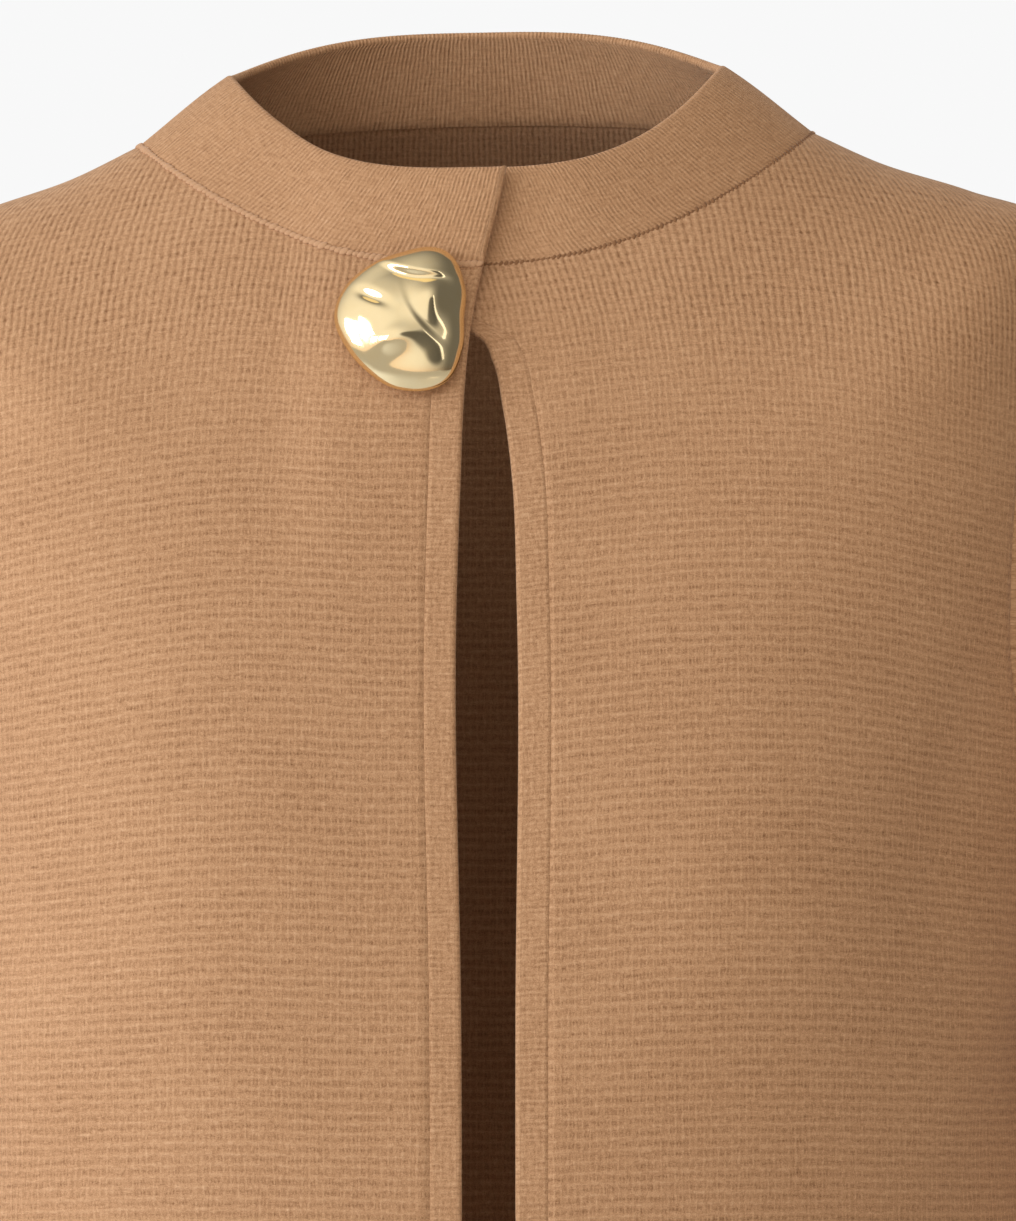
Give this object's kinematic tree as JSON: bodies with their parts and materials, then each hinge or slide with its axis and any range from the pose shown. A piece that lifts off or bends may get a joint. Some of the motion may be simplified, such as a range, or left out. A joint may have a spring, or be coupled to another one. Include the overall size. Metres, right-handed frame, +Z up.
{
  "type": "knit coat, worn, with one large pebble button at the neck",
  "caption": "Thigh-length knit coat held in its worn shape: standing neckband, set-in sleeves, narrow front bands, one large metal pebble button at the neck, fronts hanging open below it.",
  "frame": {"origin": "middle of the neck seam at the height where the wearer's neck and shoulders carry the coat", "axes": "+X towards the wearer's left, -Y in front of the wearer, +Z up"},
  "size_m": [0.5937, 0.2969, 0.8783],
  "materials": {
    "body_knit": "matt wool knit, horizontal ridges crossed by fine wales",
    "rib_knit": "matt fine rib knit, doubled",
    "band_knit": "matt smooth knit, doubled",
    "gold": "polished",
    "thread": "matt"
  },
  "bodies": {
    "root": {"front_right": "body_knit", "front_left": "body_knit", "back": "body_knit", "sleeve_right": "body_knit", "sleeve_left": "body_knit", "neckband": "rib_knit", "front_band_right": "band_knit", "front_band_left": "band_knit", "button": "gold", "button_thread": "thread"}
  },
  "joints": []
}
